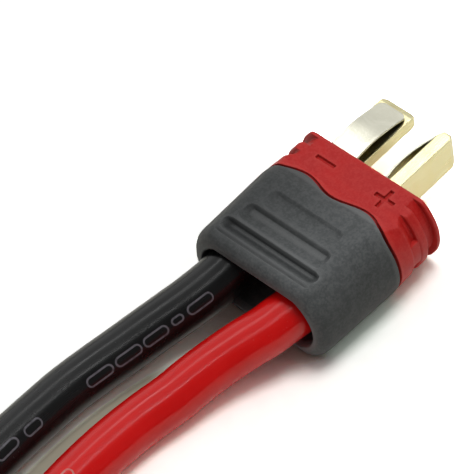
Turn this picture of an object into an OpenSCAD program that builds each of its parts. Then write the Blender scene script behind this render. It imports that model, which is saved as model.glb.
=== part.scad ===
// A male two-blade T-plug with a slip-on cover, on a pair of silicone wires.
// +X points out of the mating face, +Y to the negative side and +Z up.
// The origin is the middle of the mating face. All sizes are in millimetres.

/* [Housing] */
// Width of the mating face, from end to end
face_w = 15.8; // [15.4:0.1:16.6]
// Thickness of the mating face
face_t = 7.2; // [6.8:0.1:7.6]
// How far each arc end stands beyond the corners of the flat top
end_bulge = 1.5; // [1:0.1:1.8]
// Fillet between the flat top and the arc end
face_corner = 0.45; // [0.2:0.05:0.6]
// Thickness of the rim round the mating face
rim_t = 0.45; // [0.35:0.05:0.7]
// Chamfer on the front edge of the rim and on both edges of the rib
rim_chamfer = 0.15; // [0.05:0.05:0.2]
// Width of the front recess in each end
recess_w = 1.05; // [0.7:0.05:1.3]
// Width of the rib behind that recess
rib_w = 0.95; // [0.8:0.05:1.3]
// Drop from the rim to the rib
rib_drop = 0.05; // [0.02:0.01:0.1]
// Width of the groove behind the rib
groove_w = 1.1; // [0.8:0.05:1.2]
// Width of the groove's flat floor, before the ramp that leads out of it
groove_flat = 0.35; // [0.2:0.05:0.5]
// Depth of the recess and the groove at the middle of each end
recess_depth = 0.6; // [0.3:0.05:0.8]
// Height of the lug that bridges the groove
lug_h = 2.6; // [2:0.1:4]
// Drop from the rib to the lug
lug_drop = 0.15; // [0.05:0.05:0.3]
// Length of the plain band between the groove and the flare
band_l = 0.25; // [0.2:0.05:0.5]
// Distance from the mating face to the rear of the housing's plug
plug_rear = 7.6; // [7:0.1:8.2]

/* [Marks] */
// Length of each bar of the polarity marks
mark_l = 2.15; // [1.6:0.05:2.4]
// Width of each bar
mark_w = 0.42; // [0.25:0.01:0.5]
// Depth to which the marks are sunk in the housing's top
mark_depth = 0.3; // [0.1:0.05:0.3]
// Distance from the mating face to the middle of the marks
mark_x = 2; // [1.8:0.05:2.2]
// Distance of the minus mark from the middle
minus_y = 3.2; // [2.4:0.1:4.2]
// Distance of the plus mark from the middle
plus_y = 3.6; // [2.4:0.1:4.2]

/* [Cover] */
// How far the cover stands beyond each end of the mating face
cover_over = 0.1; // [0.05:0.05:0.5]
// How far each end of the cover comes in towards the rear
cover_taper = 0.24; // [0.05:0.01:0.4]
// Room between the solder on the flat blade and the cover's inside
solder_room = 0.125; // [0.1:0.025:0.4]
// How far each arc end of the cover stands beyond its corners
cover_bulge = 2.3; // [1.8:0.1:2.6]
// Fillet between the cover's top and its arc end
cover_corner = 1.3; // [0.6:0.1:1.8]
// Wall of the cover
cover_wall = 1; // [0.8:0.05:1.2]
// Distance from the mating face to the cover's rear end
cover_rear = 14.8; // [14.4:0.1:16]
// Distance from the mating face to where the flare reaches the full section
flare_end = 6.1; // [5.8:0.1:6.6]
// Radius of the rounded rear rim
lip_r = 1.2; // [0.8:0.1:1.4]
// Wall left at the rear opening
lip_wall = 0.25; // [0.2:0.05:0.5]
// Play between the cover's inside and the housing's plug
plug_play = 0.05; // [0.02:0.01:0.15]

/* [Seam] */
// Distance from the mating face to the seam at its two humps
seam_hump = 4.2; // [4.1:0.05:4.6]
// Distance from the mating face to the seam in the middle
seam_dip = 5; // [4.7:0.05:5.4]
// Distance from the mating face to the seam round the ends
seam_end = 5.45; // [5.2:0.05:5.8]
// Distance of each hump from the middle
hump_y = 3.4; // [2.8:0.1:4]
// Distance from the middle to where the seam runs straight round the end
seam_turn = 7.2; // [6.4:0.1:7.4]
// Open gap between the housing and the cover along the seam
seam_gap = 0.3; // [0.1:0.05:0.35]

/* [Grip] */
// Number of finger scoops on each broad face
grip_count = 3; // [2:1:3]
// Distance from the mating face to the first scoop
grip_start = 7.3; // [6.8:0.1:7.4]
// Distance from one scoop to the next
grip_pitch = 2.28; // [2:0.02:2.3]
// Depth of the rearmost scoop
grip_depth = 0.62; // [0.3:0.02:0.66]
// Depth of the first scoop, as a share of the rearmost one's
grip_first = 0.4; // [0.3:0.05:0.8]
// Length of the rearmost scoop
grip_last = 1.45; // [1.2:0.05:1.6]
// Width of the first scoop
grip_w = 8.2; // [7:0.1:8.6]
// Gain in width from one scoop to the next
grip_gain = 1.4; // [0.4:0.1:1.4]
// Length over which a scoop's floor rises at each of its ends
grip_fade = 0.6; // [0.5:0.1:1.6]
// Radius of a scoop's corners
grip_r = 0.55; // [0.3:0.05:0.6]
// Depth of the thin crease behind the scoops
crease_depth = 0.2; // [0.05:0.01:0.24]
// Length of the thin crease
crease_l = 0.4; // [0.2:0.05:0.45]

/* [Blades] */
// Width of a blade
blade_w = 3.7; // [3.4:0.05:4]
// Thickness of a blade
blade_t = 1.25; // [1:0.05:1.4]
// How far the flat negative blade stands out of the mating face
negative_out = 8.4; // [7.9:0.05:9]
// How far the upright positive blade stands out of the mating face
positive_out = 7.9; // [7.9:0.05:9]
// Radius of the flat blade's tip corners
negative_tip_r = 0.5; // [0.2:0.05:1]
// Radius of the upright blade's tip corners
positive_tip_r = 0.3; // [0.2:0.05:1]
// Lead-in on the flats of a blade's tip
tip_lead = 0.3; // [0.1:0.05:0.4]
// Distance of the flat negative blade from its end of the mating face
negative_inset = 3.75; // [3.6:0.05:4]
// Distance of the upright positive blade from the middle
positive_y = 2.05; // [1.8:0.05:2.4]
// Width of a solder tail
tail_w = 3.2; // [2.8:0.1:3.4]
// Length of a solder tail behind the housing's plug
tail_l = 3; // [2.6:0.1:3.2]

/* [Leaves] */
// Width of a sprung leaf
leaf_w = 2.95; // [2.4:0.05:3.2]
// Thickness of a sprung leaf
leaf_t = 0.2; // [0.15:0.01:0.25]
// Height of the leaf's bow over the blade
leaf_bow = 0.75; // [0.6:0.01:0.9]
// Distance behind the mating face where the bow starts
bow_start = 0.9; // [0.6:0.05:1.2]
// Distance from the mating face to the leaf's free end
leaf_end = 7.65; // [7.2:0.05:7.75]
// Height of the free end over the blade
leaf_lift = 0.03; // [0.02:0.01:0.1]
// Radius of the free end's corners
leaf_r = 0.6; // [0.3:0.05:1]
// Play round the leaf in the housing's opening
leaf_play = 0.05; // [0.02:0.01:0.1]
// Depth of the leaf's root in the housing
leaf_root = 3; // [2:0.1:4]

/* [Wires] */
// Outer diameter of a wire
wire_d = 4.5; // [4:0.1:4.6]
// Diameter of a wire's strand bundle
core_d = 2.4; // [2:0.1:2.6]
// Solder round the strands
solder_over = 0.2; // [0.1:0.05:0.3]
// Length of the bared and tinned far end
bare_l = 6; // [4:0.5:10]

/* [Hidden] */

FILLET_STEPS = 5;
ARC_STEPS = 12;
FLARE_STEPS = 4;
LIP_STEPS = 5;
SEAM_STEPS = 40;
BOW_STEPS = 24;
TIP_STEPS = 6;
SCOOP_ROWS = 7;
SCOOP_COLS = 12;
CREASE_ROWS = 2;
WIRE_SIDES = 10;
CORE_SIDES = 12;
// Length by which a cutter runs past what it cuts
OVER = 1;

cover_w = face_w + 2 * cover_over;
negative_y = face_w / 2 - negative_inset;
// Distance of the strands' middle from the middle of the tail that they lie on
strand_off = blade_t / 2 + core_d / 2 + solder_over / 2;
cover_t = 2 * (strand_off + core_d / 2 + solder_over + solder_room + cover_wall);
recess_end = rim_t + recess_w;
rib_end = recess_end + rib_w;
groove_end = rib_end + groove_w;
flare_start = groove_end + band_l;
inner_w = cover_w - 2 * cover_wall;
inner_t = cover_t - 2 * cover_wall;
inner_bulge = cover_bulge - 0.2;
inner_corner = max(cover_corner - 0.5, 0.3);
// The inside runs straight to here, then narrows to the rear opening
throat_start = plug_rear + tail_l;
tail_end = plug_rear + tail_l;
rest_z = -cover_t / 2;

// The solder's two ends, as distances behind the mating face
solder_front = plug_rear + 0.2;
solder_rear = tail_end - 0.2;

// Route of each wire's middle, from the bared strands to the far end. Each point is X, the distance
// in Y from the middle of the strands on the wire's own tail, and the height of the wire's middle
// above where it lies on the resting surface.
BLACK_ROUTE = [
    [-13, -0.45, 2.8], [-14.2, -0.3, 2.5], [-15.6, -0.1, 2.15], [-17.5, 0.25, 1.8], [-20, 0.95, 1.25],
    [-22.5, 1.65, 0.75], [-25, 2.25, 0.35], [-28, 2.85, 0.1], [-31, 3.25, 0], [-34, 3.35, 0],
    [-38, 3.35, 0], [-43, 3.05, 0], [-49, 2.45, 0], [-56, 1.75, 0], [-63, 1.35, 0],
    [-70, 1.45, 0], [-77, 1.95, 0], [-84, 2.65, 0], [-91, 3.05, 0], [-98, 2.95, 0],
    [-105, 2.45, 0], [-111.5, 1.85, 0]
];
RED_ROUTE = [
    [-13, 0.225, 2.45], [-14, 0.425, 2.35], [-15.2, 0.725, 2.2], [-16.7, 1.075, 1.95],
    [-18.6, 1.775, 1.6], [-21, 2.575, 1.05], [-23.5, 3.175, 0.6], [-26, 3.575, 0.25],
    [-28.6, 4.075, 0.05], [-31.5, 4.375, 0], [-35, 4.475, 0], [-39, 4.275, 0], [-44, 3.675, 0],
    [-50, 2.775, 0], [-57, 1.975, 0], [-64, 1.575, 0], [-71, 1.675, 0], [-78, 2.175, 0],
    [-85, 2.775, 0], [-92, 3.075, 0], [-99, 2.875, 0], [-105, 2.375, 0], [-111, 1.775, 0]
];

// Curves and rings

function mix(a, b, s) = a + (b - a) * s;

// Points of an outline with a flat top and bottom and an arc at each end, filleted where they meet
function outline(w, t, bulge, fillet) =
    let (
        arc_r = (t * t / 4 + bulge * bulge) / (2 * bulge),
        arc_y = w / 2 - arc_r,
        fillet_z = t / 2 - fillet,
        fillet_y = arc_y + sqrt(pow(arc_r - fillet, 2) - pow(fillet_z, 2)),
        meet = atan2(fillet_z, fillet_y - arc_y),
        quarter = [
            for (k = [0 : ARC_STEPS]) let (a = meet * k / ARC_STEPS)
                [arc_y + arc_r * cos(a), arc_r * sin(a)],
            for (k = [1 : FILLET_STEPS]) let (a = mix(meet, 90, k / FILLET_STEPS))
                [fillet_y + fillet * cos(a), fillet_z + fillet * sin(a)]
        ],
        last = len(quarter) - 1
    )
    concat(
        quarter,
        [for (k = [last : -1 : 1]) [-quarter[k][0], quarter[k][1]]],
        [for (k = [0 : last]) [-quarter[k][0], -quarter[k][1]]],
        [for (k = [last : -1 : 1]) [quarter[k][0], -quarter[k][1]]]
    );

function ring(x, w, t, bulge, fillet) = [for (p = outline(w, t, bulge, fillet)) [x, p[0], p[1]]];

// Width of the cover at the place x, behind its flare
function width_at(x) = cover_w - 2 * cover_taper * (-x - flare_end) / (cover_rear - flare_end);

// The cover's own outline, drawn in by the same amount all round
function cover_ring(x, inset) =
    ring(
        x, width_at(x) - 2 * inset, cover_t - 2 * inset,
        max(cover_bulge - inset * 0.3, 0.5), max(cover_corner - inset * 0.3, 0.3)
    );

// The section between the mating face and the cover's full section, for s from 0 to 1
function flare_ring(s) =
    let (e = s * (1.25 - 0.25 * s))
    ring(
        -mix(flare_start, flare_end, s), mix(face_w, cover_w, e), mix(face_t, cover_t, e),
        mix(end_bulge, cover_bulge, e), mix(face_corner, cover_corner, e)
    );

// Distance of the seam behind the mating face, at the distance y from the middle
function seam(y) =
    let (a = abs(y))
    a < hump_y ? mix(seam_dip, seam_hump, (1 - cos(180 * a / hump_y)) / 2)
    : a < seam_turn ? mix(seam_hump, seam_end, (1 - cos(180 * (a - hump_y) / (seam_turn - hump_y))) / 2)
    : seam_end;

// Height of the leaf's underside over the blade
function bow(x) =
    let (s = min(max((x + bow_start) / (leaf_end + bow_start), 0), 1))
    leaf_bow * sin(180 * s) + leaf_lift * s;

function route(points, y) = [for (p = points) [p[0], y + p[1], rest_z + wire_d / 2 + p[2]]];
function unit(v) = v / norm(v);
function tangent(points, k) =
    unit(points[min(k + 1, len(points) - 1)] - points[max(k - 1, 0)]);

// A solid skin over a row of rings that all have the same number of points
module skin(rings) {
    n = len(rings[0]);
    last = len(rings) - 1;
    polyhedron(
        points = [for (r = rings) for (p = r) p],
        faces = concat(
            [[for (k = [0 : n - 1]) k]],
            [
                for (i = [0 : last - 1]) for (k = [0 : n - 1]) let (m = (k + 1) % n)
                    [i * n + k, (i + 1) * n + k, (i + 1) * n + m, i * n + m]
            ],
            [[for (k = [n - 1 : -1 : 0]) last * n + k]]
        ),
        convexity = 6
    );
}

// A round tube along a path, with its own radius at each point
module tube(points, radii, sides) {
    skin([
        for (k = [0 : len(points) - 1])
            let (t = tangent(points, k), side = unit(cross([0, 0, 1], t)), up = cross(t, side))
            [
                for (j = [0 : sides - 1]) let (a = -360 * j / sides)
                    points[k] + radii[k] * (cos(a) * side + sin(a) * up)
            ]
    ]);
}

// A slab across X, from the distance a to the distance b behind the mating face
module slab(a, b, w, t, bulge, fillet) {
    translate([-b, 0, 0])
        rotate([90, 0, 90])
            linear_extrude(b - a) polygon(outline(w, t, bulge, fillet));
}

// Housing

// Everything in front of the seam, less the gap given
module before_seam(gap) {
    reach = cover_w;
    linear_extrude(2 * cover_t, center = true)
        polygon(concat(
            [
                for (k = [0 : SEAM_STEPS]) let (y = mix(-cover_w / 2, cover_w / 2, k / SEAM_STEPS))
                    [gap - seam(y), y]
            ],
            [[gap - seam_end, reach], [reach, reach], [reach, -reach], [gap - seam_end, -reach]]
        ));
}

// The flared body that the housing's shoulder and the cover's front share
module flared_front() {
    skin([for (k = [FLARE_STEPS : -1 : 0]) flare_ring(k / FLARE_STEPS)]);
}

// A section of the housing across X, drawn in at its two ends only
function end_ring(x, inset) = ring(x, face_w - 2 * inset, face_t, end_bulge, face_corner);

module rim() {
    skin([
        end_ring(-rim_t, rim_chamfer / 2),
        end_ring(-rim_t + rim_chamfer / 2, 0),
        end_ring(-rim_chamfer, 0),
        ring(0, face_w - 2 * rim_chamfer, face_t - 2 * rim_chamfer, end_bulge, face_corner)
    ]);
}

module rib() {
    skin([
        end_ring(-rib_end, rib_drop + rim_chamfer),
        end_ring(-rib_end + rim_chamfer, rib_drop),
        end_ring(-recess_end - rim_chamfer, rib_drop),
        end_ring(-recess_end, rib_drop + rim_chamfer)
    ]);
}

// The groove's floor: flat behind the rib, then a ramp up to the shoulder
module groove_floor() {
    skin([
        end_ring(-groove_end, 0),
        end_ring(-rib_end - groove_flat, recess_depth),
        end_ring(-rib_end, recess_depth)
    ]);
}

// The section left at the bottom of the recess and the groove
module recess_floor(a, b, depth) {
    slab(a, b, face_w - 2 * depth, face_t, end_bulge + 0.6 * depth, face_corner);
}

// The opening for one blade and its leaf, lying flat at the middle
module blade_slot() {
    translate([-plug_rear - OVER, -blade_w / 2, -blade_t / 2])
        cube([plug_rear + 2 * OVER, blade_w, blade_t]);
    translate([-leaf_root, -leaf_w / 2, blade_t / 2 - 0.01])
        cube([leaf_root + OVER, leaf_w, leaf_t + 0.01]);
    translate([-bow_start, -leaf_w / 2 - leaf_play, blade_t / 2 - 0.01])
        cube([bow_start + OVER, leaf_w + 2 * leaf_play, bow(0) + leaf_t + leaf_play]);
}

// A bar of the polarity marks, sunk in the top
module bar(y, along_x, along_y) {
    translate([-mark_x, y, face_t / 2]) cube([along_x, along_y, 2 * mark_depth], center = true);
}

module polarity_marks() {
    bar(minus_y, mark_w, mark_l);
    bar(-plus_y, mark_w, mark_l);
    bar(-plus_y, mark_l, mark_w);
}

module at_negative() {
    translate([0, negative_y, 0]) children();
}

// The upright blade: its leaf faces the middle of the housing
module at_positive() {
    translate([0, -positive_y, 0]) rotate([-90, 0, 0]) children();
}

// The outer flat of the upright blade
module at_positive_outside() {
    translate([0, -positive_y, 0]) rotate([90, 0, 0]) children();
}

module housing() {
    color("firebrick") difference() {
        union() {
            rim();
            recess_floor(rim_t, recess_end, recess_depth);
            rib();
            groove_floor();
            intersection() {
                recess_floor(rib_end, groove_end, lug_drop);
                cube([4 * groove_end, 2 * face_w, lug_h], center = true);
            }
            slab(groove_end, flare_start, face_w, face_t, end_bulge, face_corner);
            intersection() {
                flared_front();
                before_seam(seam_gap);
            }
            slab(
                groove_end, plug_rear, inner_w - 2 * plug_play, inner_t - 2 * plug_play,
                inner_bulge, inner_corner
            );
        }
        at_negative() blade_slot();
        at_positive() blade_slot();
        polarity_marks();
    }
}

// Cover

// One finger scoop in the top: steep at its front edge, then rising gently to the rear, with
// rounded corners and a floor that rises towards its two ends
module scoop(start, length, depth, w, rows) {
    cols = SCOOP_COLS;
    corner = min(grip_r, 0.42 * length);
    floor_points = [
        for (j = [0 : cols])
            let (
                side = 1 - 2 * j / cols,
                y = w / 2 * sin(90 * side),
                from_end = w / 2 - abs(y),
                cut = corner - sqrt(pow(corner, 2) - pow(max(corner - from_end, 0), 2)),
                rise = sin(90 * min(from_end / grip_fade, 1))
            )
            for (i = [0 : rows])
                let (s = i / rows)
                [-start - mix(cut, length - cut, s), y, cover_t / 2 - depth * rise * sin(180 * pow(s, 0.55))]
    ];
    lid_points = [for (p = floor_points) [p[0], p[1], cover_t / 2 + OVER]];
    n = rows + 1;
    total = len(floor_points);
    polyhedron(
        points = concat(floor_points, lid_points),
        faces = concat(
            [
                for (j = [0 : cols - 1]) for (i = [0 : rows - 1]) let (k = j * n + i)
                    each [[k, k + 1, k + n + 1], [k, k + n + 1, k + n]]
            ],
            [
                for (j = [0 : cols - 1]) for (i = [0 : rows - 1]) let (k = total + j * n + i)
                    each [[k, k + n + 1, k + 1], [k, k + n, k + n + 1]]
            ],
            [
                for (i = [0 : rows - 1]) let (k = i, m = total - n + i)
                    each [[k, k + total, k + total + 1, k + 1], [m, m + 1, m + total + 1, m + total]]
            ],
            [
                for (j = [0 : cols - 1]) let (k = j * n, m = j * n + rows)
                    each [[k, k + n, k + n + total, k + total], [m, m + total, m + total + n, m + n]]
            ]
        ),
        convexity = 6
    );
}

module scoops() {
    last = grip_count - 1;
    for (k = [0 : last])
        scoop(
            grip_start + k * grip_pitch,
            k == last ? grip_last : grip_pitch - 0.1,
            grip_depth * mix(grip_first, 1, k / last),
            grip_w + k * grip_gain,
            SCOOP_ROWS
        );
    scoop(
        grip_start + last * grip_pitch + grip_last + 0.08, crease_l, crease_depth,
        grip_w + last * grip_gain, CREASE_ROWS
    );
}

module cover_outside() {
    skin(concat(
        [for (k = [LIP_STEPS : -1 : 0]) let (a = 90 * k / LIP_STEPS)
            cover_ring(-(cover_rear - lip_r + lip_r * sin(a)), lip_r * (1 - cos(a)))],
        [for (k = [FLARE_STEPS : -1 : 0]) flare_ring(k / FLARE_STEPS)]
    ));
}

// The hollow: full width round the plug, narrowing to the rear opening
module cover_inside() {
    mouth = lip_r + lip_wall;
    skin([
        cover_ring(-cover_rear - OVER, mouth - 0.3),
        cover_ring(-cover_rear, mouth - 0.15),
        cover_ring(-cover_rear + 0.6, mouth),
        ring(-throat_start, width_at(-throat_start) - 2 * cover_wall, inner_t, inner_bulge, inner_corner),
        ring(-plug_rear, inner_w, inner_t, inner_bulge, inner_corner),
        ring(-flare_start + OVER, inner_w, inner_t, inner_bulge, inner_corner)
    ]);
}

module cover() {
    color("dimgray") difference() {
        cover_outside();
        cover_inside();
        before_seam(0);
        scoops();
        mirror([0, 0, 1]) scoops();
    }
}

// Contacts

module blade(out, tip_r) {
    corner = [
        for (k = [0 : TIP_STEPS]) let (a = 90 * k / TIP_STEPS)
            [out - tip_r + tip_r * sin(a), blade_w / 2 - tip_r + tip_r * cos(a)]
    ];
    half = concat(
        [[-tail_end, tail_w / 2], [-plug_rear, tail_w / 2], [-plug_rear, blade_w / 2]],
        corner
    );
    plan = concat(half, [for (k = [len(half) - 1 : -1 : 0]) [half[k][0], -half[k][1]]]);
    side = [
        [-tail_end, -blade_t / 2], [out - 2 * tip_lead, -blade_t / 2],
        [out, tip_lead - blade_t / 2], [out, blade_t / 2 - tip_lead],
        [out - 2 * tip_lead, blade_t / 2], [-tail_end, blade_t / 2]
    ];
    color("gold") intersection() {
        linear_extrude(blade_t, center = true) polygon(plan);
        rotate([90, 0, 0]) linear_extrude(2 * blade_w, center = true) polygon(side);
    }
}

// The leaf's root lies flat on the blade in the housing, and its free end rests near the tip
module leaf() {
    under = [for (k = [0 : BOW_STEPS]) let (x = mix(-bow_start, leaf_end, k / BOW_STEPS)) [x, bow(x)]];
    over = [for (k = [BOW_STEPS : -1 : 0]) [under[k][0], under[k][1] + leaf_t]];
    color("silver") translate([0, 0, blade_t / 2])
        intersection() {
            rotate([90, 0, 0])
                linear_extrude(leaf_w, center = true)
                    polygon(concat([[-leaf_root, 0]], under, over, [[-leaf_root, leaf_t]]));
            union() {
                translate([-leaf_root, -leaf_w / 2, -OVER])
                    cube([leaf_root + leaf_end - leaf_r, leaf_w, 2 * OVER + leaf_bow]);
                translate([0, leaf_r - leaf_w / 2, -OVER])
                    cube([leaf_end, leaf_w - 2 * leaf_r, 2 * OVER + leaf_bow]);
                for (s = [-1, 1])
                    translate([leaf_end - leaf_r, s * (leaf_w / 2 - leaf_r), -OVER])
                        cylinder(r = leaf_r, h = 2 * OVER + leaf_bow, $fn = 32);
            }
        }
}

// Wires

// The bared strands: from the wire's first point, in line with it, then straight along the tail
function core_path(wire, y, z) =
    let (
        start = wire[0] + 0.35 * unit(wire[0] - wire[1]),
        front = [-solder_front, y, z],
        rear = [-solder_rear, y, z],
        bend = [-solder_rear - 0.5, y, z]
    )
    [wire[0], start, mix(start, bend, 0.5), bend, rear, front];

black_route = route(BLACK_ROUTE, negative_y);
red_route = route(RED_ROUTE, -positive_y - strand_off);
black_core_path = core_path(black_route, negative_y, strand_off);
red_core_path = core_path(red_route, -positive_y - strand_off, 0);

module core(path) {
    tube(path, [for (p = path) core_d / 2], CORE_SIDES);
}

// The solder round the strands, standing on a flat tail
module solder() {
    rise = strand_off - blade_t / 2;
    foot = tail_w / 2 - 0.1;
    solder_r = core_d / 2 + solder_over;
    color("lightgray") translate([-solder_rear, 0, blade_t / 2])
        rotate([90, 0, 90])
            linear_extrude(solder_rear - solder_front) difference() {
                intersection() {
                    union() {
                        translate([0, rise]) circle(r = solder_r, $fn = 36);
                        polygon([[-foot, 0], [foot, 0], [solder_r * 0.9, rise], [-solder_r * 0.9, rise]]);
                    }
                    translate([-tail_w, 0]) square([2 * tail_w, cover_t]);
                }
                translate([0, rise]) circle(r = core_d / 2, $fn = CORE_SIDES);
            }
}

module wire(points) {
    tube(points, [for (p = points) wire_d / 2], WIRE_SIDES);
}

// The bared and tinned far end, in line with the last stretch of the wire
module wire_end(points) {
    last = points[len(points) - 1];
    ahead = unit(last - points[len(points) - 2]);
    stops = [0, bare_l - core_d / 4, bare_l];
    tube(
        [for (s = stops) last + s * ahead],
        [core_d / 2, core_d / 2, core_d / 3],
        CORE_SIDES
    );
}

housing();
cover();
at_negative() blade(negative_out, negative_tip_r);  // negative_blade
at_positive() blade(positive_out, positive_tip_r);  // positive_blade
at_negative() leaf();  // negative_leaf
at_positive() leaf();  // positive_leaf
at_negative() solder();  // negative_solder
at_positive_outside() solder();  // positive_solder
color("peru") core(black_core_path);  // black_core
color("peru") core(red_core_path);  // red_core
color("#202224") wire(black_route);  // black_wire
color("crimson") wire(red_route);  // red_wire
color("lightgray") wire_end(black_route);  // black_wire_end
color("lightgray") wire_end(red_route);  // red_wire_end
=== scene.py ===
"""Looks of a T-plug pigtail.

Red housing, grey slip-on cover, gold blades with sprung leaves, and two silicone wires on white paper.
"""
import math
import bmesh
import bpy
from mathutils import Matrix, Vector


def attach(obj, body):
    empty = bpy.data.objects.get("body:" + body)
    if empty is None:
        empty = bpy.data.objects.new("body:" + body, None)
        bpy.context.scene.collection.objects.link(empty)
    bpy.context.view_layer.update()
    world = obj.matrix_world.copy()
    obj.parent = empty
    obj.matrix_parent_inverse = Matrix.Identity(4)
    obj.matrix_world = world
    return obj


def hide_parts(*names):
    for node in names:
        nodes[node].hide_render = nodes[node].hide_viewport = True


MM = 0.001

# Where the photograph was taken from, in degrees and millimetres
CAMERA_AZIMUTH, CAMERA_ELEVATION, CAMERA_ROLL = -38.82, 50.84, -10.49
CAMERA_LENS, CAMERA_SENSOR, CAMERA_DISTANCE = 312.64, 36, 353.4
AIM_POINT, AIM_RIGHT, AIM_UP = (-6, 0, 0), -7.644, -0.245

# Wires, in millimetres
REST_Z = -4.45
WIRE_D = 4.5
CORE_D = 2.4
BARE_L = 6.0
JACKET_WALL, CUT_SINK, CUT_ROUND = 0.85, 0.25, 0.18
STRAND_ROOT = 0.4
# How finely the wires' tubes are divided, round and along
TUBE_ROUND, TUBE_ALONG = 14, 10
# The bared strands: their share of the core's width, and that of their grooves and crests
STRAND_FIT, STRAND_MEAN, STRAND_GROOVE, STRAND_CREST = 0.95, 0.96, 0.93, 1.04
STRAND_TURNS, STRAND_RIDGES, STRAND_STEPS = 0.42, 14, 36
# Width of the strands from the tip back, ring by ring, as a share of their full width
TIP_PROFILE = (0.6, 0.84, 0.93, 0.97, 1.0)

# The middle of each wire, from the bared strands to the far end: X, Y and height above where it lies
BLACK_ROUTE = [
    (-13, 3.7, 2.8), (-14.2, 3.85, 2.5), (-15.6, 4.05, 2.15), (-17.5, 4.4, 1.8), (-20, 5.1, 1.25),
    (-22.5, 5.8, 0.75), (-25, 6.4, 0.35), (-28, 7, 0.1), (-31, 7.4, 0), (-34, 7.5, 0),
    (-38, 7.5, 0), (-43, 7.2, 0), (-49, 6.6, 0), (-56, 5.9, 0), (-63, 5.5, 0),
    (-70, 5.6, 0), (-77, 6.1, 0), (-84, 6.8, 0), (-91, 7.2, 0), (-98, 7.1, 0),
    (-105, 6.6, 0), (-111.5, 6, 0),
]
RED_ROUTE = [
    (-13, -3.75, 2.45), (-14, -3.55, 2.35), (-15.2, -3.25, 2.2), (-16.7, -2.9, 1.95),
    (-18.6, -2.2, 1.6), (-21, -1.4, 1.05), (-23.5, -0.8, 0.6), (-26, -0.4, 0.25),
    (-28.6, 0.1, 0.05), (-31.5, 0.4, 0), (-35, 0.5, 0), (-39, 0.3, 0), (-44, -0.3, 0),
    (-50, -1.2, 0), (-57, -2, 0), (-64, -2.4, 0), (-71, -2.3, 0), (-78, -1.8, 0),
    (-85, -1.2, 0), (-92, -0.9, 0), (-99, -1.1, 0), (-105, -1.6, 0), (-111, -2.2, 0),
]
# The printed ovals: place along and round the wire, millimetres for each unit along, half the straight
BLACK_MARKS = [
    (0.1497, 0.080, 55, 0.8), (0.1923, 0.0815, 55, 0.2), (0.2349, 0.075, 54, 0.8), (0.2882, 0.077, 54, 0.8),
    (0.3400, 0.078, 56, 0.8), (0.4541, 0.100, 95, 0.7), (0.4878, 0.112, 95, 0.7),
]
RED_MARKS = [(0.495, 0.185, 95, 0.6), (0.525, 0.185, 95, 0.6)]
# Half the height of an oval, of one that is nearly round, and up to what straight it counts as that
OVAL_HIGH, OVAL_LOW, OVAL_SHORT = 0.42, 0.3, 0.3

# Edges flatter than this are shaded smooth, in degrees
SMOOTH_ANGLE = 28

# The floor as other surfaces see it: by its bounced light, and in mirrors
FLOOR_BOUNCE, FLOOR_MIRRORED = (0.88, 0.87, 0.84), (1.25, 1.23, 1.12)
# The floor as the camera sees it: its fibres; far away and just ahead of the housing, painted bright to wash
# out the shadow;
# and painted shadow close under the part, behind the cover and between the wires
FLOOR_DULL, FLOOR_WHITE = (1.76, 1.77, 1.70), (1.86, 1.87, 1.80)
FLOOR_FAR = (5.0, 5.0, 4.9)
FLOOR_DEEP, FLOOR_REAR, FLOOR_BETWEEN = (1.6, 1.8, 1.58), (0.6, 0.55, 0.48), (0.5, 0.48, 0.37)
# The black wire's line near the plug, which bounds the painted shadow between the wires: its outermost point
# in millimetres, and its bend, per metre
LINE_X, LINE_Y, LINE_BEND = -35, 7.52, -10.7
# In millimetres: how far the floor looks for what stands close over it to lay its painted shadow, and where
# it turns fully white
FLOOR_REACH, FAR_START, FAR_END = 6, 40, 160

# What the matt surfaces see of the room, zone by zone: overhead, half way up and near the table
SKY_TOP = 0.44
SKY_HIGH = {"near": 0.04, "far": 0.06, "right": 0.6, "left": 0.06}
SKY_LOW = {"near": 0.13, "far": 0.04, "right": 0.2, "left": 0.12}
# What the shining surfaces see of it: at the table, half way up, overhead, behind and on the near side
SHINE_TABLE, SHINE_LOW, SHINE_TOP, SHINE_BACK, SHINE_NEAR = 0.4, 1.0, 0.74, 0.3, 0.18
# Name, place, aim, width and height in millimetres, power, and whether it lights matt and shining surfaces
LAMPS = [
    ("key box", (60, -40, 370), (-10, 0, 0), 130, 130, 0.5, True, False),
    ("near tube", (100, -124, 420), (-30, 0, 0), 900, 12, 0.36, False, True),
    ("far tube", (-20, 215, 420), (-30, 0, 0), 640, 12, 0.3, False, True),
]

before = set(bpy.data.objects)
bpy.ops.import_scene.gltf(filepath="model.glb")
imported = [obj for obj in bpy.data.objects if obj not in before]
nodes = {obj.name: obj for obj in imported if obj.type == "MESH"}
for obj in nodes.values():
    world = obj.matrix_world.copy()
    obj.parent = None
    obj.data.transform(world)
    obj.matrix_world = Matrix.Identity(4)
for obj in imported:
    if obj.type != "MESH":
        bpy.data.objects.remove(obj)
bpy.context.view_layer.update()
scene = bpy.context.scene


# Camera

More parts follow.
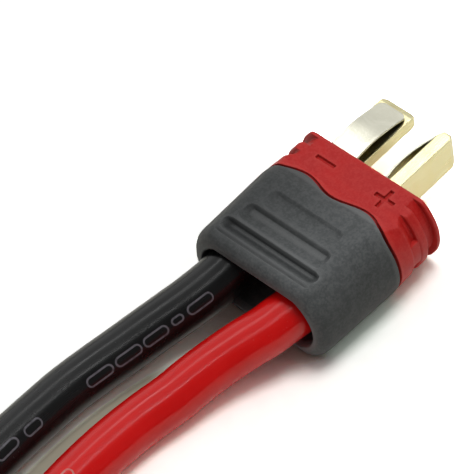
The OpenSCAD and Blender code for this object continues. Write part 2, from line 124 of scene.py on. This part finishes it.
def place_camera():
    """Sets the camera where the photograph was taken from: behind, above and to the positive side."""
    turns = (CAMERA_AZIMUTH, CAMERA_ELEVATION, CAMERA_ROLL)
    azimuth, elevation, roll = (math.radians(turn) for turn in turns)
    back = Vector((
        math.sin(azimuth) * math.cos(elevation),
        -math.cos(azimuth) * math.cos(elevation),
        math.sin(elevation),
    ))
    level_right = Vector((math.cos(azimuth), math.sin(azimuth), 0))
    level_up = back.cross(level_right)
    right = math.cos(roll) * level_right + math.sin(roll) * level_up
    up = back.cross(right)
    aim = Vector(AIM_POINT) * MM + AIM_RIGHT * MM * right + AIM_UP * MM * up
    lens = bpy.data.cameras.new("photo camera")
    lens.lens, lens.sensor_width = CAMERA_LENS, CAMERA_SENSOR
    lens.clip_start, lens.clip_end = 0.01, 10
    camera = bpy.data.objects.new("photo camera", lens)
    facing = Matrix((right, up, back)).transposed().to_4x4()
    camera.matrix_world = Matrix.Translation(aim + CAMERA_DISTANCE * MM * back) @ facing
    scene.collection.objects.link(camera)
    scene.camera = camera


place_camera()


# Shapes

def wire_points(route):
    return [Vector((x, y, REST_Z + WIRE_D / 2 + z)) * MM for x, y, z in route]


def add_piece(name, mesh):
    """Puts a finished mesh in the scene as a piece that rides on the one body."""
    piece = bpy.data.objects.new(name, mesh)
    scene.collection.objects.link(piece)
    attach(piece, "root")
    return piece


def swept_mesh(name, points, radius):
    """A round tube along a smooth line through the points, with a UV map along and round it."""
    line = bpy.data.curves.new(name, "CURVE")
    line.dimensions = "3D"
    line.bevel_depth = radius
    line.bevel_resolution = TUBE_ROUND
    line.resolution_u = TUBE_ALONG
    spline = line.splines.new("BEZIER")
    spline.bezier_points.add(len(points) - 1)
    for knot, place in zip(spline.bezier_points, points):
        knot.co = place
        knot.handle_left_type = knot.handle_right_type = "AUTO"
    holder = bpy.data.objects.new(name, line)
    scene.collection.objects.link(holder)
    bpy.context.view_layer.update()
    mesh = bpy.data.meshes.new_from_object(holder.evaluated_get(bpy.context.evaluated_depsgraph_get()))
    bpy.data.objects.remove(holder)
    bpy.data.curves.remove(line)
    mesh.name = name
    return mesh


def close_jacket(mesh):
    """Closes a tube's two ends: a rounded cut edge, the jacket's wall, and a face sunk a little inside it."""
    shell = bmesh.new()
    shell.from_mesh(mesh)
    bmesh.ops.remove_doubles(shell, verts=shell.verts, dist=1e-7)
    open_edges = [edge for edge in shell.edges if edge.is_boundary]
    caps = bmesh.ops.holes_fill(shell, edges=open_edges, sides=0)["faces"]
    for cap in caps:
        cap.normal_update()
    for cap in caps:
        rim = list(cap.edges)
        bmesh.ops.inset_individual(shell, faces=[cap], thickness=JACKET_WALL * MM, depth=0)
        inward = -cap.normal * CUT_SINK * MM
        grown = bmesh.ops.extrude_face_region(shell, geom=[cap])
        core = [part for part in grown["geom"] if isinstance(part, bmesh.types.BMVert)]
        bmesh.ops.translate(shell, verts=core, vec=inward)
        bmesh.ops.delete(shell, geom=[cap], context="FACES_ONLY")
        bmesh.ops.bevel(
            shell, geom=rim, offset=CUT_ROUND * MM, offset_type="OFFSET", affect="EDGES",
            segments=3, profile=0.5, material=-1, clamp_overlap=True,
        )
    bmesh.ops.recalc_face_normals(shell, faces=shell.faces)
    for face in shell.faces:
        face.smooth = True
    shell.to_mesh(mesh)
    shell.free()
    return mesh


def strand_bundle(name, start, ahead, length, radius):
    """A bared wire end: a twisted bundle of strands that the tin holds together, rounded at its tip."""
    bundle = bmesh.new()
    made = bmesh.ops.create_circle(
        bundle, cap_ends=True, segments=4 * STRAND_RIDGES, radius=radius * STRAND_MEAN,
    )
    for index, vert in enumerate(made["verts"]):
        if index % 4 == 0:
            vert.co *= STRAND_GROOVE
        elif index % 4 == 2:
            vert.co *= STRAND_CREST
    tip = next(face for face in bundle.faces)
    for step in range(1, STRAND_STEPS + 1):
        grown = bmesh.ops.extrude_face_region(bundle, geom=[tip])
        verts = [part for part in grown["geom"] if isinstance(part, bmesh.types.BMVert)]
        faces = [part for part in grown["geom"] if isinstance(part, bmesh.types.BMFace)]
        if step > 1:
            bmesh.ops.delete(bundle, geom=[tip], context="FACES_ONLY")
        tip = faces[0]
        bmesh.ops.translate(bundle, verts=verts, vec=(0, 0, length / STRAND_STEPS))
        middle = Vector((0, 0, length * step / STRAND_STEPS))
        bmesh.ops.rotate(
            bundle, verts=verts, cent=middle,
            matrix=Matrix.Rotation(math.tau * STRAND_TURNS / STRAND_STEPS, 3, "Z"),
        )
        left = STRAND_STEPS - step
        if left < len(TIP_PROFILE) - 1:
            shrink = TIP_PROFILE[left] / TIP_PROFILE[left + 1]
            bmesh.ops.scale(
                bundle, verts=verts, vec=(shrink, shrink, 1), space=Matrix.Translation(-middle)
            )
    turn = Vector((0, 0, 1)).rotation_difference(ahead).to_matrix().to_4x4()
    bmesh.ops.transform(bundle, matrix=Matrix.Translation(start) @ turn, verts=bundle.verts)
    bmesh.ops.recalc_face_normals(bundle, faces=bundle.faces)
    for face in bundle.faces:
        face.smooth = True
    mesh = bpy.data.meshes.new(name)
    bundle.to_mesh(mesh)
    bundle.free()
    return mesh


def make_wire(colour, route):
    """One silicone wire with its bared and tinned far end."""
    points = wire_points(route)
    jacket = add_piece(
        f"{colour}_jacket",
        close_jacket(swept_mesh(f"{colour} jacket", points, WIRE_D / 2 * MM)),
    )
    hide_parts(f"{colour}_wire")
    ahead = (points[-1] - points[-2]).normalized()
    bared = add_piece(
        f"{colour}_tinned_strands",
        strand_bundle(
            f"{colour} tinned strands", points[-1] - STRAND_ROOT * MM * ahead, ahead,
            (BARE_L + STRAND_ROOT) * MM, CORE_D / 2 * MM * STRAND_FIT,
        ),
    )
    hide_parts(f"{colour}_wire_end")
    return jacket, bared


black_jacket, black_bared = make_wire("black", BLACK_ROUTE)
red_jacket, red_bared = make_wire("red", RED_ROUTE)


# Shading helpers

class Nodes:
    """Short calls for putting nodes into one node tree."""

    def __init__(self, tree):
        self.tree = tree

    def add(self, kind, **settings):
        node = self.tree.nodes.new(kind)
        for key, value in settings.items():
            setattr(node, key, value)
        return node

    def link(self, source, target):
        self.tree.links.new(source, target)
        return target

    def feed(self, socket, value):
        """Links an output to an input, or sets the input's own value."""
        if isinstance(value, bpy.types.NodeSocket):
            self.tree.links.new(value, socket)
        elif isinstance(value, (tuple, list)) and len(value) == 3 and socket.type == "RGBA":
            socket.default_value = (*value, 1)
        else:
            socket.default_value = value

    def noise(self, vector, scale, detail=2.0, rough=0.5, distortion=0.0):
        node = self.add("ShaderNodeTexNoise")
        self.feed(node.inputs["Vector"], vector)
        self.feed(node.inputs["Scale"], scale)
        node.inputs["Detail"].default_value = detail
        node.inputs["Roughness"].default_value = rough
        node.inputs["Distortion"].default_value = distortion
        return node.outputs["Fac"]

    def maths(self, operation, a, b=0.0, c=0.0):
        node = self.add("ShaderNodeMath", operation=operation)
        for socket, value in zip(node.inputs, (a, b, c)):
            self.feed(socket, value)
        return node.outputs[0]

    def times(self, a, b):
        return self.maths("MULTIPLY", a, b)

    def plus(self, a, b):
        return self.maths("ADD", a, b)

    def minus(self, a, b):
        return self.maths("SUBTRACT", a, b)

    def more(self, a, b):
        return self.maths("MAXIMUM", a, b)

    def split(self, vector):
        """The X, Y and Z of a vector."""
        node = self.add("ShaderNodeSeparateXYZ")
        self.link(vector, node.inputs[0])
        return tuple(node.outputs)

    def spread(self, value, low, high, to_low=0.0, to_high=1.0):
        """A soft step: to_low up to low, and to_high from high on."""
        node = self.add("ShaderNodeMapRange", interpolation_type="SMOOTHSTEP")
        for socket, number in zip(node.inputs, (value, low, high, to_low, to_high)):
            self.feed(socket, number)
        return node.outputs[0]

    def blend(self, amount, a, b):
        node = self.add("ShaderNodeMix", data_type="RGBA")
        self.feed(node.inputs[0], amount)
        self.feed(node.inputs[6], a)
        self.feed(node.inputs[7], b)
        return node.outputs[2]

    def stretch(self, vector, scale, turn=(0, 0, 0)):
        node = self.add("ShaderNodeMapping")
        self.feed(node.inputs["Vector"], vector)
        node.inputs["Scale"].default_value = scale
        node.inputs["Rotation"].default_value = turn
        return node.outputs["Vector"]

    def bump(self, height, strength, distance, normal=None):
        node = self.add("ShaderNodeBump")
        self.feed(node.inputs["Height"], height)
        node.inputs["Strength"].default_value = strength
        node.inputs["Distance"].default_value = distance
        if normal is not None:
            self.feed(node.inputs["Normal"], normal)
        return node.outputs["Normal"]

    def rounded(self, radius):
        """The normal of edges that are rounded to a radius."""
        node = self.add("ShaderNodeBevel", samples=8)
        node.inputs["Radius"].default_value = radius
        return node.outputs["Normal"]


def new_group(name, inputs, outputs):
    """An empty shader node group with its sockets. Each input is a name, a kind and a default."""
    tree = bpy.data.node_groups.new(name, "ShaderNodeTree")
    for title, kind, value in inputs:
        socket = tree.interface.new_socket(name=title, in_out="INPUT", socket_type=kind)
        if value is not None:
            socket.default_value = value
    for title in outputs:
        tree.interface.new_socket(name=title, in_out="OUTPUT", socket_type="NodeSocketFloat")
    made = Nodes(tree)
    return made, made.add("NodeGroupInput"), made.add("NodeGroupOutput")


def make_moulding_group():
    """Moulded plastic: a fine spark-eroded grain, slow flow marks and a few faint scuffs."""
    made, given, result = new_group(
        "moulded grain",
        [("Vector", "NodeSocketVector", None), ("Grain Scale", "NodeSocketFloat", 6000.0)],
        ["Grain", "Flow", "Scuffs"],
    )
    place = given.outputs["Vector"]
    fine = made.noise(place, given.outputs["Grain Scale"], 3, 0.6)
    coarse = made.noise(place, made.times(given.outputs["Grain Scale"], 0.33), 2, 0.5)
    made.link(made.plus(made.times(fine, 0.6), made.times(coarse, 0.4)), result.inputs["Grain"])
    made.link(made.noise(made.stretch(place, (1, 0.5, 1)), 260, 3, 0.5, 1.2), result.inputs["Flow"])
    scratch = made.noise(made.stretch(place, (0.25, 2.2, 1), (0, 0, 0.5)), 1400, 2, 0.6, 0.4)
    patch = made.noise(place, 380, 1, 0.5)
    lines = made.spread(scratch, 0.62, 0.72)
    made.link(made.times(lines, made.spread(patch, 0.5, 0.68)), result.inputs["Scuffs"])
    return made.tree


def make_edge_group():
    """Softened edges: a broken mask of how near the surface is to an edge."""
    made, given, result = new_group(
        "softened edges",
        [("Vector", "NodeSocketVector", None), ("Break Up", "NodeSocketFloat", 1500.0)],
        ["Edge"],
    )
    round_near = made.add("ShaderNodeBevel", samples=6)
    round_near.inputs["Radius"].default_value = 0.16 * MM
    flat = made.add("ShaderNodeNewGeometry")
    agree = made.add("ShaderNodeVectorMath", operation="DOT_PRODUCT")
    made.link(round_near.outputs["Normal"], agree.inputs[0])
    made.link(flat.outputs["Normal"], agree.inputs[1])
    edge = made.spread(agree.outputs["Value"], 0.99, 0.86)
    broken = made.noise(given.outputs["Vector"], given.outputs["Break Up"], 3, 0.6)
    made.link(made.times(edge, made.spread(broken, 0.3, 0.62)), result.inputs["Edge"])
    return made.tree


def make_nearness_group(name, output, open_at, full_at, **settings):
    """A mask that grows as more rays are blocked within Reach, outwards into hollows or inwards at rims."""
    made, given, result = new_group(name, [("Reach", "NodeSocketFloat", 0.5 * MM)], [output])
    rays = made.add("ShaderNodeAmbientOcclusion", samples=8, **settings)
    made.link(given.outputs["Reach"], rays.inputs["Distance"])
    made.link(made.spread(rays.outputs["AO"], open_at, full_at), result.inputs[output])
    return made.tree


def make_draw_line_group():
    """Drawn or rolled metal: fine lines along X, with slow patches of brighter and duller plate."""
    made, given, result = new_group(
        "drawn metal", [("Vector", "NodeSocketVector", None)], ["Lines", "Patches"],
    )
    place = given.outputs["Vector"]
    made.link(made.noise(made.stretch(place, (0.05, 1, 1)), 2400, 2, 0.5), result.inputs["Lines"])
    made.link(made.noise(place, 420, 3, 0.55, 0.6), result.inputs["Patches"])
    return made.tree


def make_print_group():
    """A plain printed oval on a wire, with an even line. Its sizes are in millimetres."""
    made, given, result = new_group(
        "printed oval",
        [
            ("UV", "NodeSocketVector", None), ("Along", "NodeSocketFloat", 0.2),
            ("Round", "NodeSocketFloat", 0.08), ("Stretch", "NodeSocketFloat", 54.0),
            ("Half Length", "NodeSocketFloat", 0.8), ("Half Height", "NodeSocketFloat", 0.42),
        ],
        ["Ink"],
    )
    u, v, _ = made.split(given.outputs["UV"])
    along = made.times(made.minus(u, given.outputs["Along"]), given.outputs["Stretch"])
    round_it = made.times(made.minus(v, given.outputs["Round"]), math.pi * WIRE_D)
    past_end = made.more(made.minus(made.maths("ABSOLUTE", along), given.outputs["Half Length"]), 0.0)
    reach = made.maths("SQRT", made.plus(made.times(past_end, past_end), made.times(round_it, round_it)))
    off_line = made.maths("ABSOLUTE", made.minus(reach, given.outputs["Half Height"]))
    made.link(made.spread(off_line, 0.12, 0.05), result.inputs["Ink"])
    return made.tree


def make_silicone_group():
    """Extruded silicone: long faint draw lines, slow waviness, and pale dust specks."""
    made, given, result = new_group(
        "extruded silicone",
        [("UV", "NodeSocketVector", None), ("Vector", "NodeSocketVector", None)],
        ["Draw", "Wave", "Dust"],
    )
    along = made.stretch(given.outputs["UV"], (6, 60, 1))
    made.link(made.noise(along, 1.0, 3, 0.55), result.inputs["Draw"])
    place = given.outputs["Vector"]
    made.link(made.noise(place, 190, 2, 0.5, 0.3), result.inputs["Wave"])
    specks = made.noise(place, 5200, 1, 0.5)
    clusters = made.noise(place, 260, 2, 0.5)
    dust = made.times(made.spread(specks, 0.7, 0.76), made.spread(clusters, 0.48, 0.66))
    made.link(dust, result.inputs["Dust"])
    return made.tree


moulded_grain = make_moulding_group()
softened_edges = make_edge_group()
# Painted shade in hollows and narrow gaps, and a painted highlight on rims, from how many rays are blocked
# close by
painted_hollow_shade = make_nearness_group("painted hollow shade", "Hollow", 0.98, 0.78, only_local=True)
painted_gap_shade = make_nearness_group("painted gap shade", "Hollow", 0.8, 0.25, only_local=False)
painted_rim_highlight = make_nearness_group("painted rim highlight", "Rim", 0.97, 0.7, only_local=True, inside=True)
drawn_metal = make_draw_line_group()
extruded_silicone = make_silicone_group()
printed_oval = make_print_group()


# Materials

def new_finish(name):
    """A material with its Principled shader, the node helper and its texture coordinates."""
    finish = bpy.data.materials.new(name)
    finish.use_nodes = True
    made = Nodes(finish.node_tree)
    shader = finish.node_tree.nodes["Principled BSDF"]
    coords = made.add("ShaderNodeTexCoord")
    return finish, made, shader, coords


def use_group(made, tree, **inputs):
    node = made.add("ShaderNodeGroup", node_tree=tree)
    for title, value in inputs.items():
        made.feed(node.inputs[title.replace("_", " ")], value)
    return node.outputs


def moulded_plastic(
    name, deep, plain, pale_wear_and_highlight, rough, soft, grain_scale, grain_depth, shade, shine, crown, fade,
):
    """Moulded plastic, with painted shade in its hollows and a painted highlight along its rims.

    Soft is the radius of the edges, and shade how strong the painted hollow shade and rim highlight are.
    Crown is how far the broad faces seem to drop by 8 mm from the middle, and fade how much painted shade
    darkens the colour from the near side to the far side and on both narrow ends.
    """
    finish, made, shader, coords = new_finish(name)
    place = coords.outputs["Object"]
    grain = use_group(made, moulded_grain, Vector=place, Grain_Scale=grain_scale)
    edge = use_group(made, softened_edges, Vector=place)
    base = made.blend(made.spread(grain["Flow"], 0.3, 0.7), deep, plain)
    speckled = made.blend(made.times(made.spread(grain["Grain"], 0.4, 0.62), 0.35), base, pale_wear_and_highlight)
    wear_and_highlight_mask = made.more(made.times(edge["Edge"], 0.5), made.times(grain["Scuffs"], 0.2))
    # Painted highlight: rims are turned towards the pale colour, along with the real edge wear and scuffs
    rim = use_group(made, painted_rim_highlight, Reach=(0.42 + 0.4 * shade) * MM)["Rim"]
    wear_and_highlight_mask = made.more(wear_and_highlight_mask, made.times(rim, 0.35 + 0.6 * shade))
    # Painted shade: hollows are darkened towards a third of the deep colour
    hollow = use_group(made, painted_hollow_shade, Reach=(0.6 + 0.8 * shade) * MM)["Hollow"]
    shaded = made.blend(made.times(hollow, shade), speckled, tuple(0.35 * part for part in deep))

    # Painted light and shade: the colour is brighter towards the near side, darker towards the far side and
    # darker again on both narrow ends
    _, y, _ = made.split(place)
    across = made.spread(y, -5 * MM, 6 * MM, 1 + fade, 1 - fade)
    ends = made.spread(made.maths("ABSOLUTE", y), 6.2 * MM, 7.8 * MM, 1.0, 1 - 1.5 * fade)
    tone = made.add("ShaderNodeVectorMath", operation="SCALE")
    made.link(made.blend(wear_and_highlight_mask, shaded, pale_wear_and_highlight), tone.inputs[0])
    made.link(made.times(across, ends), tone.inputs["Scale"])
    made.link(tone.outputs[0], shader.inputs["Base Color"])

    flow = made.spread(grain["Flow"], 0.2, 0.8, rough - 0.05, rough + 0.06)
    made.feed(shader.inputs["Roughness"], made.plus(flow, made.times(grain["Grain"], 0.08)))
    shader.inputs["Specular IOR Level"].default_value = shine
    swell = made.times(made.times(y, y), -crown / (8 * MM) ** 2)
    swollen = made.bump(swell, 1.0, 1.0, made.rounded(soft))
    made.feed(shader.inputs["Normal"], made.bump(grain["Grain"], 0.5, grain_depth, swollen))
    return finish


def plated_metal(name, dull, bright, rough, line_depth):
    """Plated, tinned or bare metal with fine lines along X, and painted shade in narrow gaps."""
    finish, made, shader, coords = new_finish(name)
    metal = use_group(made, drawn_metal, Vector=coords.outputs["Object"])
    plate = made.blend(made.spread(metal["Patches"], 0.3, 0.7), dull, bright)
    # Painted shade: narrow gaps are darkened towards dark brown
    gap = use_group(made, painted_gap_shade, Reach=1.6 * MM)["Hollow"]
    made.feed(shader.inputs["Base Color"], made.blend(made.times(gap, 0.45), plate, (0.18, 0.15, 0.07)))
    shader.inputs["Metallic"].default_value = 1.0
    lines = made.spread(metal["Lines"], 0.3, 0.7, rough - 0.04, rough + 0.05)
    made.feed(shader.inputs["Roughness"], made.plus(lines, made.times(metal["Patches"], 0.08)))
    made.feed(shader.inputs["Normal"], made.bump(metal["Lines"], 0.2, line_depth, made.rounded(0.1 * MM)))
    return finish


def silicone(name, deep, plain, dusty, rough, depth, marks, ink):
    """Wire jacket with its printed ovals. Depth is how much light goes under its skin."""
    finish, made, shader, coords = new_finish(name)
    along, place = coords.outputs["UV"], coords.outputs["Object"]
    skin = use_group(made, extruded_silicone, UV=along, Vector=place)
    base = made.blend(made.spread(skin["Wave"], 0.3, 0.7), deep, plain)
    dusted = made.blend(made.times(skin["Dust"], 0.5), base, dusty)
    inked = 0.0
    for start, round_it, stretch, half in marks:
        oval = use_group(
            made, printed_oval, UV=along, Along=start, Round=round_it, Stretch=stretch,
            Half_Length=half, Half_Height=OVAL_HIGH if half > OVAL_SHORT else OVAL_LOW,
        )
        inked = made.more(inked, oval["Ink"])
    worn_ink = made.spread(made.noise(place, 2600, 2, 0.6), 0.2, 0.6, 0.45, 0.9)
    made.feed(shader.inputs["Base Color"], made.blend(made.times(inked, worn_ink), dusted, ink))
    wave = made.spread(skin["Wave"], 0.25, 0.75, rough - 0.04, rough + 0.06)
    made.feed(shader.inputs["Roughness"], made.plus(wave, made.times(skin["Draw"], 0.08)))
    shader.inputs["Specular IOR Level"].default_value = 0.4
    shader.inputs["Subsurface Weight"].default_value = depth
    shader.inputs["Subsurface Radius"].default_value = (1.0, 0.12, 0.1)
    shader.inputs["Subsurface Scale"].default_value = 1.6 * MM
    made.feed(shader.inputs["Normal"], made.bump(skin["Draw"], 0.25, 0.02 * MM))
    return finish


housing_red = moulded_plastic(
    "housing red", deep=(0.56, 0.008, 0.007), plain=(0.65, 0.012, 0.010), pale_wear_and_highlight=(0.71, 0.06, 0.05),
    rough=0.42, soft=0.14 * MM, grain_scale=5200, grain_depth=0.012 * MM,
    shade=0.1, shine=0.35, crown=0.1 * MM, fade=0.0,
)
cover_grey = moulded_plastic(
    "cover grey", deep=(0.066, 0.071, 0.0715), plain=(0.086, 0.0915, 0.0925), pale_wear_and_highlight=(0.175, 0.181, 0.181),
    rough=0.55, soft=0.22 * MM, grain_scale=4200, grain_depth=0.03 * MM,
    shade=0.62, shine=0.28, crown=0.9 * MM, fade=0.28,
)
blade_gold = plated_metal("blade gold", (0.87, 0.785, 0.44), (0.925, 0.865, 0.52), 0.19, 0.003 * MM)
leaf_nickel = plated_metal("leaf nickel", (0.68, 0.665, 0.55), (0.78, 0.765, 0.64), 0.18, 0.002 * MM)
tin = plated_metal("tin", (0.58, 0.58, 0.60), (0.72, 0.72, 0.73), 0.3, 0.03 * MM)
copper_strands = plated_metal("copper strands", (0.62, 0.30, 0.17), (0.84, 0.50, 0.32), 0.35, 0.08 * MM)
black_silicone = silicone(
    "black silicone", deep=(0.006, 0.0065, 0.0065), plain=(0.009, 0.0095, 0.0095), dusty=(0.07, 0.07, 0.07),
    rough=0.2, depth=0.0, marks=BLACK_MARKS, ink=(0.19, 0.185, 0.21),
)
red_silicone = silicone(
    "red silicone", deep=(0.81, 0.006, 0.006), plain=(0.88, 0.009, 0.008), dusty=(0.82, 0.07, 0.06),
    rough=0.16, depth=0.5, marks=RED_MARKS, ink=(0.75, 0.3, 0.27),
)

FINISHES = {
    "housing": housing_red,
    "cover": cover_grey,
    "negative_blade": blade_gold,
    "positive_blade": blade_gold,
    "negative_leaf": leaf_nickel,
    "positive_leaf": leaf_nickel,
    "negative_solder": tin,
    "positive_solder": tin,
    "black_core": copper_strands,
    "red_core": copper_strands,
}


def wear(piece, finish):
    piece.data.materials.clear()
    piece.data.materials.append(finish)


for name, finish in FINISHES.items():
    wear(nodes[name], finish)
    nodes[name].data.shade_smooth()
    nodes[name].data.set_sharp_from_angle(angle=math.radians(SMOOTH_ANGLE))
for piece, finish in (
    (black_jacket, black_silicone), (red_jacket, red_silicone), (black_bared, tin), (red_bared, tin),
):
    wear(piece, finish)


# Floor and light

def behind_cover(made, x):
    """A mask of the floor under the wires where they leave the cover, where the painted shadow is darker."""
    return made.times(made.spread(x, -22 * MM, -15.5 * MM), made.spread(x, -12.5 * MM, -14 * MM))


def between_wires(made, x, y):
    """A mask for the painted shadow on the floor between the two wires near the plug, measured from the black
    wire's line.
    """
    from_turn = made.plus(x, -LINE_X * MM)
    line = made.maths("MULTIPLY_ADD", made.times(from_turn, from_turn), LINE_BEND, LINE_Y * MM)
    across = made.times(
        made.spread(made.minus(line, y), 1.5 * MM, 2.2 * MM), made.spread(y, 0.2 * MM, 1.4 * MM),
    )
    along = made.times(made.spread(x, -21 * MM, -25 * MM), made.spread(x, -60 * MM, -40 * MM))
    return made.times(across, along)


def lay_floor():
    """A sheet of white paper, which keeps the plug's shadow.

    The camera sees it at full white, with painted shadow set where the photograph's shadows differ:
    close under the part, behind the cover and between the wires.
    """
    sheet = bmesh.new()
    bmesh.ops.create_grid(sheet, x_segments=1, y_segments=1, size=3)
    bmesh.ops.translate(sheet, verts=sheet.verts, vec=(0, 0, REST_Z * MM))
    mesh = bpy.data.meshes.new("paper floor")
    sheet.to_mesh(mesh)
    sheet.free()
    floor = bpy.data.objects.new("paper_floor", mesh)
    scene.collection.objects.link(floor)
    paper, made, shader, coords = new_finish("white paper")
    place = coords.outputs["Object"]
    rays = made.add("ShaderNodeLightPath")
    bounced = made.blend(rays.outputs["Is Glossy Ray"], FLOOR_BOUNCE, FLOOR_MIRRORED)
    speckled = made.blend(made.spread(made.noise(place, 900, 3, 0.5), 0.3, 0.7), FLOOR_DULL, FLOOR_WHITE)
    far_off = made.add("ShaderNodeVectorMath", operation="LENGTH")
    made.link(place, far_off.inputs[0])
    x, y, _ = made.split(place)
    # Painted light: just ahead of the housing the floor is made bright enough to wash out the blades' shadow,
    # and far away it turns fully white
    ahead = made.spread(x, -1 * MM, 5 * MM)
    bare = made.more(made.spread(far_off.outputs["Value"], FAR_START * MM, FAR_END * MM), ahead)
    white = made.blend(bare, speckled, FLOOR_FAR)
    # Painted shadow: where little open sky is near, the floor is darkened towards the deep tone, and towards
    # a darker one behind the cover
    open_sky = made.add("ShaderNodeAmbientOcclusion", samples=12)
    open_sky.inputs["Distance"].default_value = FLOOR_REACH * MM
    deep = made.blend(behind_cover(made, x), FLOOR_DEEP, FLOOR_REAR)
    with_painted_shadow = made.blend(made.spread(open_sky.outputs["AO"], 0.55, 0.36), white, deep)
    # Painted shadow on the floor between the two wires near the plug
    with_painted_shadow = made.blend(between_wires(made, x, y), with_painted_shadow, FLOOR_BETWEEN)
    matt = made.add("ShaderNodeBsdfDiffuse")
    made.feed(matt.inputs["Color"], made.blend(rays.outputs["Is Camera Ray"], bounced, with_painted_shadow))
    made.link(matt.outputs[0], paper.node_tree.nodes["Material Output"].inputs["Surface"])
    paper.node_tree.nodes.remove(shader)
    mesh.materials.append(paper)


def soft_box(name, place, aim, width, height, power, lights, shines):
    """A rectangular lamp in millimetres. It lights the matt surfaces, shines in the glossy ones, or both."""
    lamp = bpy.data.lights.new(name, "AREA")
    lamp.shape = "RECTANGLE"
    lamp.size, lamp.size_y = width * MM, height * MM
    lamp.energy = power
    box = bpy.data.objects.new(name, lamp)
    start, end = Vector(place) * MM, Vector(aim) * MM
    look = (start - end).normalized()
    across = Vector((0, 1, 0)).cross(look).normalized()
    facing = Matrix((across, look.cross(across), look)).transposed().to_4x4()
    box.matrix_world = Matrix.Translation(start) @ facing
    box.visible_diffuse, box.visible_glossy = lights, shines
    scene.collection.objects.link(box)


def matt_room(made, x, y, z):
    """How bright the room is for matt surfaces, from its zones."""
    top = made.spread(z, 0.5, 0.8)
    low = made.spread(z, 0.4, 0.15)
    high = made.minus(made.minus(1.0, top), low)
    side = {"near": made.spread(y, -0.1, -0.6), "far": made.spread(y, 0.1, 0.6)}
    ends = made.minus(made.minus(1.0, side["near"]), side["far"])
    side["right"] = made.times(ends, made.spread(x, -0.3, 0.3))
    side["left"] = made.minus(ends, side["right"])
    level = made.times(top, SKY_TOP)
    for band, levels in ((high, SKY_HIGH), (low, SKY_LOW)):
        for name, share in levels.items():
            level = made.plus(level, made.times(made.times(band, side[name]), share))
    return level


def shining_room(made, x, y, z):
    """How bright the room is in shining surfaces."""
    climb = made.times(
        made.spread(z, 0.0, 0.32, SHINE_TABLE, 1.0), made.spread(z, 0.3, 0.8, SHINE_LOW, SHINE_TOP),
    )
    level = made.times(climb, made.spread(x, -0.7, 0.3, SHINE_BACK, 1.0))
    return made.times(level, made.spread(y, -0.5, -0.15, SHINE_NEAR, 1.0))


def light_studio():
    """A room that the camera sees as plain white, one large box overhead and two tubes that only shine."""
    world = bpy.data.worlds.new("studio")
    scene.world = world
    world.use_nodes = True
    made = Nodes(world.node_tree)
    sky = world.node_tree.nodes["Background"]
    x, y, z = made.split(made.add("ShaderNodeTexCoord").outputs["Generated"])
    rays = made.add("ShaderNodeLightPath")
    glossy = rays.outputs["Is Glossy Ray"]
    matt = matt_room(made, x, y, z)
    shine = shining_room(made, x, y, z)
    lit = made.plus(made.times(shine, glossy), made.times(matt, made.minus(1.0, glossy)))
    open_view = made.more(rays.outputs["Is Camera Ray"], rays.outputs["Is Transmission Ray"])
    sky.inputs["Color"].default_value = (1, 1, 1, 1)
    made.feed(sky.inputs["Strength"], made.more(open_view, lit))
    for box in LAMPS:
        soft_box(*box)


lay_floor()
light_studio()
scene.view_settings.view_transform = "Standard"
